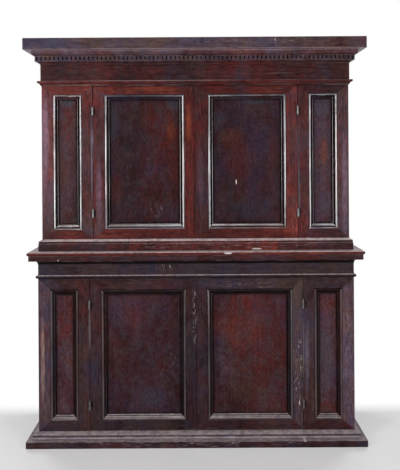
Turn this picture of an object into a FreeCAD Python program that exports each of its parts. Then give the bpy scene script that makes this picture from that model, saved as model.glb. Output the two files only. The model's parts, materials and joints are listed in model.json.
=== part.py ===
import FreeCAD, Part
import os

Vector = FreeCAD.Vector
ALONG_X = Vector(1, 0, 0)
ALONG_Y = Vector(0, 1, 0)
ALONG_Z = Vector(0, 0, 1)

# Two-stage walnut cupboard, in millimetres: +Z up, front towards -Y, origin under its middle.

# Driving widths and depths
overall_depth = 590.0
lower_width = 1674.0
upper_setback = 19.5

# Heights of the courses, from the floor up
plinth_height = 36.0
base_rail_height = 36.0
lower_front_height = 804.0
lower_frieze_height = 100.0
fascia_height = 28.0
waist_slab_thickness = 20.0
upper_base_height = 61.0
upper_front_height = 817.0
upper_frieze_height = 183.0
cornice_thickness = 61.0

# Boards
carcass_thickness = 26.0
back_thickness = 14.0
floor_board_thickness = 22.0
shelf_thickness = 22.0
dust_board_thickness = 18.0
back_board_count = 5
dust_board_count = 4
lower_shelf_share = 0.47
upper_shelf_share = 0.52
shelf_setback = 32.0
cleat_width = 24.0
cleat_height = 30.0

# Plinth, with its moulding planted above it
plinth_overhang = 57.0
plinth_board_inner = 60.0
plinth_moulding_overhang = 28.0
plinth_moulding_drop = 1.0

# Lower frieze mouldings and the waist
astragal_overhang = 11.0
astragal_height = 18.0
astragal_lift = 4.0
cavetto_overhang = 18.0
cavetto_height = 22.0
fascia_overhang = 42.0
waist_slab_overhang = 50.0

# Upper plinth, whose front board is made up of four lengths
upper_plinth_overhang = 18.0
upper_plinth_joint_shares = (-0.471, -0.431, 0.531)

# Entablature, measured out from the face of the upper frieze
frieze_overhang = 5.0
necking_overhang = 15.0
necking_height = 22.0
necking_lift = 4.0
bed_overhang = 16.0
bed_height = 14.0
dentil_overhang = 24.0
dentil_strip_height = 25.0
dentil_slot_height = 19.0
dentil_slot_depth = 9.0
dentil_slot_width = 7.0
dentil_pitch = 22.8
crown_overhang = 40.0
crown_height = 30.0
cornice_overhang = 76.0
cornice_inner = 50.0
cornice_joint_share = 0.514
cornice_back_rail = 26.0

# Framed fronts: the fixed bays and the doors
bay_width = 271.5
upper_meeting_shift = -6.0
door_end_gap = 2.0
door_meeting_gap = 2.0
upper_top_rail = 45.0
upper_bottom_rail = 51.0
lower_top_rail = 54.0
lower_bottom_rail = 52.0
upper_bay_stiles = (60.0, 56.0)
lower_bay_stiles = (62.0, 57.0)
upper_left_door_stiles = (61.0, 50.0)
upper_right_door_stiles = (72.0, 60.0)
lower_left_door_stiles = (61.0, 53.0)
lower_right_door_stiles = (58.0, 52.0)
panel_setback = 14.0
panel_thickness = 8.0
panel_groove = 8.0
panel_moulding_width = 29.0

# Butt hinges with ball-ended pins, their axis in front of the face
hinge_inset = 135.0
hinge_barrel_height = 42.0
hinge_barrel_radius = 7.0
hinge_pin_radius = 3.0
hinge_pin_clearance = 0.05
hinge_tip_radius = 3.6
hinge_knuckle_share = 0.36
hinge_knuckle_clearance = 0.3
hinge_face_clearance = 0.5
hinge_leaf_thickness = 1.4
hinge_leaf_play = 0.2
hinge_leaf_depth = 21.0

# Locks on the right doors and slide bolts on the left doors
lock_case_width = 54.0
lock_case_height = 84.0
lock_case_depth = 18.0
lock_case_wall = 2.0
lock_edge_setback = 2.0
lock_bolt_room = 14.0
lock_bolt_height = 14.0
lock_bolt_thickness = 7.0
bolt_clearance = 0.3
keeper_clearance = 1.2
upper_lock_share = 0.474
lower_lock_share = 0.483
keyhole_inset = 50.0
keyhole_radius = 3.6
keyhole_slot_width = 3.4
keyhole_slot_height = 13.0
strap_wall = 4.5
strap_length = 24.0
slide_bolt_size = 9.0
slide_bolt_inset = 25.0
slide_bolt_offset = 4.5
slide_bolt_drop = 4.0
slide_knob_radius = 5.0
slide_knob_length = 13.0
slide_guide_height = 12.0
slide_guide_spacing = 130.0
slide_guide_drop = 22.0
slide_bolt_tail = 26.0
slide_keeper_height = 16.0
slide_keeper_lift = 6.0

# Levels and planes worked out from the sizes above
lower_front_z = plinth_height + base_rail_height
lower_frieze_z = lower_front_z + lower_front_height
fascia_z = lower_frieze_z + lower_frieze_height
waist_slab_z = fascia_z + fascia_height
upper_base_z = waist_slab_z + waist_slab_thickness
upper_front_z = upper_base_z + upper_base_height
upper_frieze_z = upper_front_z + upper_front_height
cornice_z = upper_frieze_z + upper_frieze_height
overall_height = cornice_z + cornice_thickness
lower_half = lower_width / 2
upper_half = lower_half - upper_setback
frieze_half = upper_half + frieze_overhang
back_y = overall_depth / 2
frieze_y = cornice_overhang - overall_depth / 2
upper_front_y = frieze_y + frieze_overhang
lower_front_y = upper_front_y - upper_setback
plinth_moulding_height = base_rail_height - plinth_moulding_drop
door_hinge_gap = 2 * hinge_leaf_thickness + hinge_leaf_play
lock_bolt_length = lock_case_width - lock_case_wall - lock_bolt_room
lock_bolt_offset = (lock_case_depth - lock_case_wall - lock_bolt_thickness) / 2
slide_bolt_length = slide_guide_drop + slide_guide_spacing + slide_guide_height + slide_bolt_tail

# Moulding sections as shares of overhang and height. A step is a point, or the middle and end of an arc.
board_shares = [(0, 0), (1, 0), (1, 1), (0, 1)]
plinth_moulding_shares = [(0, 0), (1, 0), (1, 0.66), (0.54, 0.87, 0.05, 1), (0, 1)]
astragal_shares = [(0, 0), (0.25, 0), (1, 0.5, 0.25, 1), (0, 1)]
cavetto_shares = [(0, 0), (0.08, 0), (0.32, 0.66, 1, 0.92), (1, 1), (0, 1)]
upper_plinth_shares = [(0, 0), (1, 0), (1, 0.62), (0.88, 0.66), (0.92, 0.83), (0.06, 1), (0, 1)]
necking_shares = [(0, 0), (0.1, 0), (0.33, 0.33, 0.86, 0.48), (1, 0.5), (1, 0.92), (0.9, 1), (0, 1)]
bed_shares = [(0, 0), (0.1, 0), (0.34, 0.62, 1, 0.9), (1, 1), (0, 1)]
crown_shares = [(0, 0), (0.62, 0), (0.62, 0.1), (0.92, 0.34, 1, 0.78), (1, 1), (0, 1)]

# Panel moulding section: shares of its width inwards, and of the setback of the panel below the face
panel_moulding_shares = [
    (0, 0), (0, 0.9), (0.03, 0.9), (0.25, 1.3, 0.47, 0.9), (0.47, 0.78), (0.59, 0.66, 0.7, 0.36),
    (0.75, 0.36), (0.83, 0.52, 0.91, 0.36), (0.95, 0.12), (1, 0),
]


def block(x0, x1, y0, y1, z0, z1):
    """Box between two corners."""
    return Part.makeBox(x1 - x0, y1 - y0, z1 - z0, Vector(x0, y0, z0))


def mirrored(shape):
    """The same piece for the other side of the cupboard."""
    return shape.mirror(Vector(0, 0, 0), ALONG_X)


def section_face(shares, across, rise, base):
    """Closed section in the XZ plane, from shares of its reach across and of its rise."""
    def spot(a, u):
        return Vector(across * a, 0, base + rise * u)

    edges = []
    here = spot(*shares[0])
    for step in shares[1:] + shares[:1]:
        there = spot(*step[-2:])
        if len(step) == 4:
            edges.append(Part.Arc(here, spot(*step[:2]), there).toShape())
        else:
            edges.append(Part.LineSegment(here, there).toShape())
        here = there
    return Part.Face(Part.Wire(edges))


def mitred_run(face, length, start_mitre, end_mitre):
    """Section run along +Y; a mitre of 1 lengthens that end outwards, -1 shortens it, 0 is square."""
    box = face.BoundBox
    spare = max(abs(box.XMin), abs(box.XMax))
    bar = face.extrude(ALONG_Y * (length + 2 * spare))
    bar.translate(ALONG_Y * -spare)
    corners = [
        Vector(box.XMin, -box.XMin * start_mitre, box.ZMin),
        Vector(box.XMax, -box.XMax * start_mitre, box.ZMin),
        Vector(box.XMax, length + box.XMax * end_mitre, box.ZMin),
        Vector(box.XMin, length + box.XMin * end_mitre, box.ZMin),
    ]
    keep = Part.Face(Part.makePolygon(corners + corners[:1])).extrude(ALONG_Z * box.ZLength)
    return bar.common(keep).Solids[0]


def turned_to_front(shape, x, y):
    """A run along +Y that reaches out along +X, turned to run along +X and reach out along -Y."""
    shape.rotate(Vector(0, 0, 0), ALONG_Z, -90)
    shape.translate(Vector(x, y, 0))
    return shape


def three_sided(shares, overhang, height, base, half, front, inner=0):
    """Front run and two returns of a course, mitred at the front corners."""
    inner_share = -inner / overhang
    face = section_face([(inner_share, 0)] + shares[1:-1] + [(inner_share, 1)], overhang, height, base)
    across = turned_to_front(mitred_run(face, 2 * half, 1, 1), -half, front)
    right = mitred_run(face, back_y - front, 1, 0)
    right.translate(Vector(half, front, 0))
    return [across, mirrored(right), right]


def split_at(solid, places):
    """Cut a long front run into lengths at the given places along X."""
    box = solid.BoundBox
    ends = [box.XMin] + list(places) + [box.XMax]
    lengths = []
    for start, end in zip(ends[:-1], ends[1:]):
        keep = block(start, end, box.YMin, box.YMax, box.ZMin, box.ZMax)
        lengths.append(solid.common(keep).Solids[0])
    return lengths


def flat_prism(points, bottom, top):
    """Upright prism over points in the XY plane."""
    corners = [Vector(x, y, bottom) for x, y in points]
    return Part.Face(Part.makePolygon(corners + corners[:1])).extrude(ALONG_Z * (top - bottom))


def frame_members(width, height, stiles, rails):
    """Two stiles and two rails, face up, mitred from the outer corners to the opening."""
    left, right = stiles
    bottom, top = rails
    outer = [(0, 0), (width, 0), (width, height), (0, height)]
    inner = [(left, bottom), (width - right, bottom), (width - right, height - top), (left, height - top)]
    members = []
    for here in range(len(outer)):
        there = (here + 1) % len(outer)
        points = [outer[here], outer[there], inner[there], inner[here]]
        members.append(flat_prism(points, -carcass_thickness, 0))
    return members


def moulding_frame(width, height):
    """Four mitred strips inside an opening, face up, with one corner of the opening at the origin."""
    face = section_face(panel_moulding_shares, panel_moulding_width, panel_setback, -panel_setback)
    left = mitred_run(face, height, -1, -1)
    right = left.mirror(Vector(width / 2, 0, 0), ALONG_X)
    top = turned_to_front(mitred_run(face, width, -1, -1), 0, height)
    bottom = top.mirror(Vector(0, height / 2, 0), ALONG_Y)
    return [left, right, top, bottom]


def framed_panel(x0, x1, z0, z1, front, stiles, rails):
    """Frame, mouldings and panel of one bay or door, stood up in its place."""
    width = x1 - x0
    height = z1 - z0
    open_width = width - sum(stiles)
    open_height = height - sum(rails)
    panel = block(stiles[0] - panel_groove, stiles[0] + open_width + panel_groove,
                  rails[0] - panel_groove, rails[0] + open_height + panel_groove,
                  -panel_setback - panel_thickness, -panel_setback)
    frame = [member.cut(panel) for member in frame_members(width, height, stiles, rails)]
    mouldings = moulding_frame(open_width, open_height)
    for strip in mouldings:
        strip.translate(Vector(stiles[0], rails[0], 0))
    pieces = {"frame": frame, "moulding": mouldings, "panel": [panel]}
    for shapes in pieces.values():
        for shape in shapes:
            shape.rotate(Vector(0, 0, 0), ALONG_X, 90)
            shape.translate(Vector(x0, front, z0))
    return pieces


def hinge_knuckle(z0, z1, side):
    """Barrel length with its web back to the leaf; side is -1 for the bay and 1 for the door."""
    barrel = Part.makeCylinder(hinge_barrel_radius, z1 - z0, Vector(0, 0, z0))
    edge = door_hinge_gap / 2
    plays = (edge - hinge_leaf_thickness) * side
    web = block(min(edge * side, plays), max(edge * side, plays),
                0, hinge_barrel_radius + hinge_face_clearance, z0, z1)
    bore = Part.makeCylinder(hinge_pin_radius + hinge_pin_clearance, z1 - z0, Vector(0, 0, z0))
    return barrel.fuse(web).cut(bore)


def hinge_leaf(side, spans):
    """One leaf with its knuckles, its axis at the origin and the door towards +X."""
    edge = door_hinge_gap / 2 * side
    inner = edge - hinge_leaf_thickness * side
    start = hinge_barrel_radius + hinge_face_clearance
    half = hinge_barrel_height / 2
    leaf = block(min(edge, inner), max(edge, inner), start, start + hinge_leaf_depth, -half, half)
    for z0, z1 in spans:
        leaf = leaf.fuse(hinge_knuckle(z0, z1, side))
    return leaf.removeSplitter().Solids[0]


def hinge_pin():
    """Pin through the barrel, with a ball at each end."""
    half = hinge_barrel_height / 2
    pin = Part.makeCylinder(hinge_pin_radius, 2 * half, Vector(0, 0, -half))
    seat = (hinge_tip_radius ** 2 - (hinge_pin_radius / 2) ** 2) ** 0.5
    for end in (-1, 1):
        pin = pin.fuse(Part.makeSphere(hinge_tip_radius, Vector(0, 0, (half + seat) * end)))
    return pin.removeSplitter().Solids[0]


def hinge_set(x, front, z0, z1, door_side):
    """Leaves and pins of one door; door_side is 1 for a door to the right of its hinges, or else -1."""
    half = hinge_barrel_height / 2
    middle = half * hinge_knuckle_share
    lower = (-half, -middle - hinge_knuckle_clearance)
    upper = (middle + hinge_knuckle_clearance, half)
    axis_y = front - hinge_barrel_radius - hinge_face_clearance
    pieces = {"fixed": [], "door": [], "pin": []}
    for z in (z0 + hinge_inset, z1 - hinge_inset):
        made = {"fixed": hinge_leaf(-1, [lower, upper]), "door": hinge_leaf(1, [(-middle, middle)]),
                "pin": hinge_pin()}
        for role, shape in made.items():
            if door_side < 0:
                shape = mirrored(shape)
            shape.translate(Vector(x, axis_y, z))
            pieces[role].append(shape)
    return pieces


def lock_case(x, y, z):
    """Rim lock case on the inside of a right door, open towards the door, with a slot for its bolt."""
    half = lock_case_height / 2
    wall = lock_case_wall
    case = block(x, x + lock_case_width, y, y + lock_case_depth, z - half, z + half)
    hollow = block(x + wall, x + lock_case_width - wall, y, y + lock_case_depth - wall,
                   z - half + wall, z + half - wall)
    reach = lock_bolt_height / 2 + bolt_clearance
    slot = block(x, x + wall, y + lock_bolt_offset - bolt_clearance,
                 y + lock_bolt_offset + lock_bolt_thickness + bolt_clearance, z - reach, z + reach)
    return case.cut(hollow).cut(slot)


def lock_bolt(x, y, z):
    """Bolt drawn back level with the edge of its case."""
    half = lock_bolt_height / 2
    return block(x, x + lock_bolt_length, y + lock_bolt_offset,
                 y + lock_bolt_offset + lock_bolt_thickness, z - half, z + half)


def lock_staple(x, y, z):
    """Staple on the inside of a left door, which the lock bolt enters along -X."""
    reach = lock_bolt_height / 2 + keeper_clearance
    slot = block(x - strap_length, x, y + lock_bolt_offset - keeper_clearance,
                 y + lock_bolt_offset + lock_bolt_thickness + keeper_clearance, z - reach, z + reach)
    body = block(x - strap_length, x, y, slot.BoundBox.YMax + strap_wall,
                 z - reach - strap_wall, z + reach + strap_wall)
    return body.cut(slot)


def keyhole(x, y, z):
    """Round hole over a slot, right through a stile."""
    bore = Part.makeCylinder(keyhole_radius, carcass_thickness, Vector(x, y, z), ALONG_Y)
    slot = block(x - keyhole_slot_width / 2, x + keyhole_slot_width / 2, y, y + carcass_thickness,
                 z - keyhole_slot_height, z)
    return bore.fuse(slot)


def square_strap(x, y, z0, z1, clearance):
    """Guide or keeper with a square way through it for a slide bolt centred on x."""
    reach = slide_bolt_size / 2 + clearance
    way = block(x - reach, x + reach, y + slide_bolt_offset - clearance,
                y + slide_bolt_offset + slide_bolt_size + clearance, z0, z1)
    body = block(x - reach - strap_wall, x + reach + strap_wall, y, way.BoundBox.YMax + strap_wall, z0, z1)
    return body.cut(way)


def slide_bolt(x, y, top):
    """Square bolt with a finger knob, drawn down clear of its keeper."""
    half = slide_bolt_size / 2
    back = y + slide_bolt_offset + slide_bolt_size
    bar = block(x - half, x + half, y + slide_bolt_offset, back, top - slide_bolt_length, top)
    knob_z = top - slide_guide_drop - slide_guide_height - slide_guide_spacing / 2
    neck = Part.makeCylinder(slide_knob_radius / 2, slide_knob_length, Vector(x, back, knob_z), ALONG_Y)
    ball = Part.makeSphere(slide_knob_radius, Vector(x, back + slide_knob_length, knob_z))
    return bar.fuse(neck).fuse(ball).removeSplitter().Solids[0]


def door_pair(half, front, z0, z1, shift, left_stiles, right_stiles, rails, lock_share):
    """Both doors of a stage with their hinges, lock and slide bolt."""
    hinge_x = half - bay_width
    door_z0 = z0 + door_end_gap
    door_z1 = z1 - door_end_gap
    left_edge = shift - door_meeting_gap / 2
    right_edge = shift + door_meeting_gap / 2
    inside = front + carcass_thickness
    lock_z = z0 + (z1 - z0) * lock_share
    left = framed_panel(-hinge_x + door_hinge_gap / 2, left_edge, door_z0, door_z1, front, left_stiles, rails)
    right = framed_panel(right_edge, hinge_x - door_hinge_gap / 2, door_z0, door_z1, front,
                         right_stiles, rails)
    hole = keyhole(right_edge + keyhole_inset, front, lock_z)
    right["frame"] = [member.cut(hole) for member in right["frame"]]
    left["hinges"] = hinge_set(-hinge_x, front, door_z0, door_z1, 1)
    right["hinges"] = hinge_set(hinge_x, front, door_z0, door_z1, -1)
    case_x = right_edge + lock_edge_setback
    right["case"] = [lock_case(case_x, inside, lock_z)]
    right["bolt"] = [lock_bolt(case_x, inside, lock_z)]
    bolt_x = left_edge - slide_bolt_inset
    bolt_top = door_z1 - slide_bolt_drop
    upper_guide = bolt_top - slide_guide_drop
    lower_guide = upper_guide - slide_guide_spacing
    left["straps"] = [
        lock_staple(left_edge - lock_edge_setback, inside, lock_z),
        square_strap(bolt_x, inside, upper_guide - slide_guide_height, upper_guide, bolt_clearance),
        square_strap(bolt_x, inside, lower_guide - slide_guide_height, lower_guide, bolt_clearance),
    ]
    left["bolt"] = [slide_bolt(bolt_x, inside, bolt_top)]
    keeper_z = z1 + slide_keeper_lift
    keeper = square_strap(bolt_x, inside, keeper_z, keeper_z + slide_keeper_height, keeper_clearance)
    return left, right, keeper


def fixed_bays(half, front, z0, z1, stiles, rails):
    """Left and right fixed bays of a stage, as one set of pieces."""
    left = framed_panel(-half, bay_width - half - door_hinge_gap / 2, z0, z1, front, stiles, rails)
    for role in left:
        left[role] = left[role] + [mirrored(shape) for shape in left[role]]
    return left


def plank_row(x0, x1, y0, y1, z0, z1, count):
    """Boards side by side along X, edge to edge."""
    width = (x1 - x0) / count
    return [block(x0 + width * n, x0 + width * (n + 1), y0, y1, z0, z1) for n in range(count)]


def case_boards(half, front, base, front_z, top, back_top, shelf_share):
    """Sides, floor, shelf, cleats and back of one stage."""
    inner = half - carcass_thickness
    inside = front + carcass_thickness
    back = back_y - back_thickness
    shelf_z = front_z + (top - front_z) * shelf_share
    left_side = block(-half, -inner, inside, back_y, base, top)
    cleat = block(-inner, -inner + cleat_width, inside + shelf_setback, back,
                  shelf_z - cleat_height, shelf_z)
    return {
        "sides": [left_side, mirrored(left_side)],
        "floor": [block(-inner, inner, inside, back, front_z - floor_board_thickness, front_z)],
        "shelf": [block(-inner, inner, inside + shelf_setback, back, shelf_z, shelf_z + shelf_thickness)],
        "cleats": [cleat, mirrored(cleat)],
        "back": plank_row(-inner, inner, back, back_y, base, back_top, back_board_count),
    }


def plinth_boards():
    """Plinth laid flat on the floor: front and side boards, and one across the back."""
    boards = three_sided(board_shares, plinth_overhang, plinth_height, 0, lower_half, lower_front_y,
                         plinth_board_inner)
    inner = lower_half - plinth_board_inner
    boards.append(block(-inner, inner, back_y - plinth_board_inner, back_y, 0, plinth_height))
    return boards


def waist_slab():
    """Board between the stages, half-round at the front and both ends."""
    reach = lower_half + waist_slab_overhang
    front = lower_front_y - waist_slab_overhang
    radius = waist_slab_thickness / 2
    top = waist_slab_z + waist_slab_thickness
    lengthwise = block(-reach, reach, front + radius, back_y, waist_slab_z, top)
    nose_start = Vector(-reach, front + radius, waist_slab_z + radius)
    nose = Part.makeCylinder(radius, 2 * reach, nose_start, ALONG_X)
    crosswise = block(-reach + radius, reach - radius, front, back_y, waist_slab_z, top)
    for end in (-1, 1):
        start = Vector((reach - radius) * end, front, waist_slab_z + radius)
        crosswise = crosswise.fuse(Part.makeCylinder(radius, back_y - front, start, ALONG_Y))
    return lengthwise.fuse(nose).common(crosswise).removeSplitter().Solids[0]


def slot_places(length):
    """Even places for the dentil slots along a run, kept clear of its ends."""
    count = int(length / dentil_pitch)
    pitch = length / count
    return [pitch * (n + 0.5) for n in range(count)]


def dentil_strip():
    """Strip with narrow upright slots cut down from its top edge."""
    base = cornice_z - crown_height - dentil_strip_height
    front, left, right = three_sided(board_shares, dentil_overhang, dentil_strip_height, base,
                                     frieze_half, frieze_y)
    slot_z = base + dentil_strip_height - dentil_slot_height
    face_y = frieze_y - dentil_overhang
    face_x = frieze_half + dentil_overhang
    half_slot = dentil_slot_width / 2
    front_cuts = [
        block(x - face_x - half_slot, x - face_x + half_slot, face_y, face_y + dentil_slot_depth,
              slot_z, slot_z + dentil_slot_height)
        for x in slot_places(2 * face_x)
    ]
    side_cuts = [
        block(face_x - dentil_slot_depth, face_x, face_y + y - half_slot, face_y + y + half_slot,
              slot_z, slot_z + dentil_slot_height)
        for y in slot_places(back_y - face_y)
    ]
    right = right.cut(Part.Compound(side_cuts))
    return [front.cut(Part.Compound(front_cuts)), mirrored(right), right]


def frieze_boards():
    """Box of the upper frieze, which carries the cornice."""
    thickness = carcass_thickness + frieze_overhang
    return three_sided(board_shares, thickness, upper_frieze_height, upper_frieze_z,
                       frieze_half - thickness, frieze_y + thickness)


def cornice_boards():
    """Heavy edge boards of the cornice, the front one in two lengths, and a rail across the back."""
    front, left, right = three_sided(board_shares, cornice_overhang, cornice_thickness, cornice_z,
                                     frieze_half, frieze_y, cornice_inner)
    inner = frieze_half - cornice_inner
    rail = block(-inner, inner, back_y - cornice_back_rail, back_y, cornice_z, overall_height)
    return split_at(front, [frieze_half * cornice_joint_share]) + [left, right, rail]


def front_rail(half, front, z0, z1):
    """Rail across the front of a stage, between its side boards' front edges."""
    return block(-half, half, front, front + carcass_thickness, z0, z1)


def build():
    """Every node of the cupboard, by name."""
    nodes = {}
    upper_rails = (upper_bottom_rail, upper_top_rail)
    lower_rails = (lower_bottom_rail, lower_top_rail)

    # Carcass of both stages
    lower_case = case_boards(lower_half, lower_front_y, plinth_height, lower_front_z, waist_slab_z,
                             waist_slab_z, lower_shelf_share)
    upper_case = case_boards(upper_half, upper_front_y, upper_base_z, upper_front_z, upper_frieze_z,
                             cornice_z, upper_shelf_share)
    for stage, case in (("lower", lower_case), ("upper", upper_case)):
        nodes[stage + "_side_boards"] = case["sides"]
        nodes[stage + "_floor_board"] = case["floor"]
        nodes[stage + "_shelf"] = case["shelf"]
        nodes[stage + "_back_boards"] = case["back"]
    nodes["shelf_cleats"] = lower_case["cleats"] + upper_case["cleats"]

    # Plinth, waist and the lower frieze
    nodes["plinth_boards"] = plinth_boards()
    nodes["plinth_moulding"] = three_sided(plinth_moulding_shares, plinth_moulding_overhang,
                                           plinth_moulding_height, plinth_height, lower_half, lower_front_y)
    nodes["lower_base_rail"] = [front_rail(lower_half, lower_front_y, plinth_height, lower_front_z)]
    nodes["lower_frieze_board"] = [front_rail(lower_half, lower_front_y, lower_frieze_z, waist_slab_z)]
    nodes["lower_astragal"] = three_sided(astragal_shares, astragal_overhang, astragal_height,
                                          lower_frieze_z + astragal_lift, lower_half, lower_front_y)
    nodes["waist_cavetto"] = three_sided(cavetto_shares, cavetto_overhang, cavetto_height,
                                         fascia_z - cavetto_height, lower_half, lower_front_y)
    nodes["waist_fascia"] = three_sided(board_shares, fascia_overhang, fascia_height, fascia_z,
                                        lower_half, lower_front_y)
    nodes["waist_slab"] = [waist_slab()]

    # Upper plinth and the entablature
    nodes["upper_base_rail"] = [front_rail(upper_half, upper_front_y, upper_base_z, upper_front_z)]
    plinth_front, plinth_left, plinth_right = three_sided(
        upper_plinth_shares, upper_plinth_overhang, upper_base_height, upper_base_z,
        upper_half, upper_front_y)
    plinth_joints = [upper_half * share for share in upper_plinth_joint_shares]
    nodes["upper_plinth_boards"] = split_at(plinth_front, plinth_joints) + [plinth_left, plinth_right]
    nodes["upper_frieze_boards"] = frieze_boards()
    crown_z = cornice_z - crown_height
    bed_z = crown_z - dentil_strip_height - bed_height
    nodes["necking_moulding"] = three_sided(necking_shares, necking_overhang, necking_height,
                                            upper_frieze_z + necking_lift, frieze_half, frieze_y)
    nodes["bed_moulding"] = three_sided(bed_shares, bed_overhang, bed_height, bed_z, frieze_half, frieze_y)
    nodes["dentil_strip"] = dentil_strip()
    nodes["crown_moulding"] = three_sided(crown_shares, crown_overhang, crown_height, crown_z,
                                          frieze_half, frieze_y)
    nodes["cornice_boards"] = cornice_boards()
    inner = upper_half - carcass_thickness
    nodes["cornice_dust_boards"] = plank_row(-inner, inner, upper_front_y + carcass_thickness,
                                             back_y - back_thickness, cornice_z - dust_board_thickness,
                                             cornice_z, dust_board_count)

    # Fixed bays, doors and their ironwork
    stages = [
        ("lower", lower_half, lower_front_y, lower_front_z, lower_frieze_z, 0,
         lower_bay_stiles, lower_left_door_stiles, lower_right_door_stiles, lower_rails, lower_lock_share),
        ("upper", upper_half, upper_front_y, upper_front_z, upper_frieze_z, upper_meeting_shift,
         upper_bay_stiles, upper_left_door_stiles, upper_right_door_stiles, upper_rails, upper_lock_share),
    ]
    nodes["hinge_fixed_leaves"] = []
    nodes["hinge_pins"] = []
    nodes["bolt_keepers"] = []
    for stage, half, front, z0, z1, shift, bay, left_stiles, right_stiles, rails, lock_share in stages:
        bays = fixed_bays(half, front, z0, z1, bay, rails)
        nodes[stage + "_bay_frames"] = bays["frame"]
        nodes[stage + "_bay_mouldings"] = bays["moulding"]
        nodes[stage + "_bay_panels"] = bays["panel"]
        left, right, keeper = door_pair(half, front, z0, z1, shift, left_stiles, right_stiles, rails,
                                        lock_share)
        for side, door in (("left", left), ("right", right)):
            name = stage + "_" + side + "_door"
            nodes[name + "_frame"] = door["frame"]
            nodes[name + "_moulding"] = door["moulding"]
            nodes[name + "_panel"] = door["panel"]
            nodes[name + "_hinge_leaves"] = door["hinges"]["door"]
            nodes["hinge_fixed_leaves"] += door["hinges"]["fixed"]
            nodes["hinge_pins"] += door["hinges"]["pin"]
        nodes[stage + "_lock_case"] = right["case"]
        nodes[stage + "_lock_bolt"] = right["bolt"]
        nodes[stage + "_bolt_straps"] = left["straps"]
        nodes[stage + "_slide_bolt"] = left["bolt"]
        nodes["bolt_keepers"].append(keeper)
    return nodes


def write(nodes):
    """One STEP file for each node."""
    os.makedirs("parts", exist_ok=True)
    for name, solids in nodes.items():
        for solid in solids:
            if not solid.isValid() or len(solid.Solids) != 1:
                raise ValueError("bad solid in " + name)
        shape = solids[0] if len(solids) == 1 else Part.Compound(solids)
        shape.exportStep("parts/" + name + ".step")
    print(len(nodes), "nodes,", sum(len(solids) for solids in nodes.values()), "solids")


write(build())
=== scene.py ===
import bpy
import bmesh
import json
import math
import random
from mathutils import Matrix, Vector

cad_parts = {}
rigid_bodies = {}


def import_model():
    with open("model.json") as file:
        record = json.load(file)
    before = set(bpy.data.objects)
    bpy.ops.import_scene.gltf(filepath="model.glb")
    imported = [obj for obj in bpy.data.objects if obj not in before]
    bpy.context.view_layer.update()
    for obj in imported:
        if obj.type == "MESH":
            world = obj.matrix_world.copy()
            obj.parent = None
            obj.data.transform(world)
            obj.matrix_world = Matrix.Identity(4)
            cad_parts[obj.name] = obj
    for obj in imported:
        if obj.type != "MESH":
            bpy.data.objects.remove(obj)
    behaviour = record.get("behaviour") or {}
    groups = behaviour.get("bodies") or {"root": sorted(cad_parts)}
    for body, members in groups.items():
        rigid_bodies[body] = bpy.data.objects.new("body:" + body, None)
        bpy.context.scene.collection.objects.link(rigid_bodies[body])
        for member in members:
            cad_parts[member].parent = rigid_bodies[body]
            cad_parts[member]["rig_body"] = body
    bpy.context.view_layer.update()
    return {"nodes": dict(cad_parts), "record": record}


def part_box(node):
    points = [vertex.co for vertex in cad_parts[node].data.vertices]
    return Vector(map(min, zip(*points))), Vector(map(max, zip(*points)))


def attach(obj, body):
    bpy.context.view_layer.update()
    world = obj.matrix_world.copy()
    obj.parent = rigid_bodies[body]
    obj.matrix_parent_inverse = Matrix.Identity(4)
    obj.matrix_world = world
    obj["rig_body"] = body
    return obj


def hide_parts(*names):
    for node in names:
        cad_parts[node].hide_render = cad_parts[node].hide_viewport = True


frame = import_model()

# Lengths are in metres, with the front towards -Y. Pieces take their places from the frame, and marks on the
# wood have places of their own on the front, as (x, z). Colours are shares of red, green and blue light.

# Camera: a level eye in front of the cupboard, framed downwards by the lens shift
EYE_HEIGHT = 1.525
EYE_DISTANCE = 3.604
EYE_SIDE = 0.025
PHOTO_HEIGHT_PX = 470
FOCAL_PX = 680.0
HORIZON_PX = 156.0
SENSOR_MM = 36.0
CAMERA_ROLL = math.radians(0.35)

# Widths of the bevels that stand for edges worn round
EDGE_HARD = 0.0009
EDGE_SOFT = 0.0018
EDGE_WORN = 0.0030
EDGE_IRON = 0.0004
BEVEL_STEPS = 2

# Angles: edges over the first are worn round, faces under the next two shade as one, and those under the last
# are taken to be flat
SHARP_ANGLE = math.radians(28)
BOARD_SMOOTHING = math.radians(38)
MOULDING_SMOOTHING = math.radians(45)
FLAT_ANGLE = math.radians(0.6)

# Lengths that are taken to be nothing when corners are merged, sorted or compared
MERGE_DISTANCE = 0.000005
HAIR = 0.00001
PLACE_DIGITS = 6

# A tone is (warmth, lightness), and each board strays from its own by up to these amounts
PLAIN_TONE = (0.5, 1.0)
WARMTH_STRAY = 0.06
LIGHTNESS_STRAY = 0.08
GRAIN_SHIFT = 40

# Random seeds: one run for each group of pieces, and within the panels' run a step for each stage and part
COURSE_SEED = 100
SIDE_SEED = 200
CASE_SEED = 300
FRAME_SEED = 400
PANEL_SEED = 500
IRON_SEED = 600
STAGE_SEEDS = 20
PART_SEEDS = 5
PANEL_AFTER_MOULDING = 2

# Panels: how far in each rim lies from the last, and how light the panel is at a distance from its sides and
# foot, and from its top, as painted shade along the mouldings that is lighter under the top one
PANEL_RIMS = (0.037, 0.010, 0.030)
PANEL_SHADE = [(0.0, 0.1), (0.037, 0.15), (0.047, 0.8), (0.077, 1.0)]
PANEL_TOP_SHADE = [(0.0, 0.5), (0.037, 0.6), (0.047, 1.0)]
# Door panels are glued up at this share of their width
DOOR_PANEL_JOINTS = (0.46,)
BOARDS_PER_PANEL = 8
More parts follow.
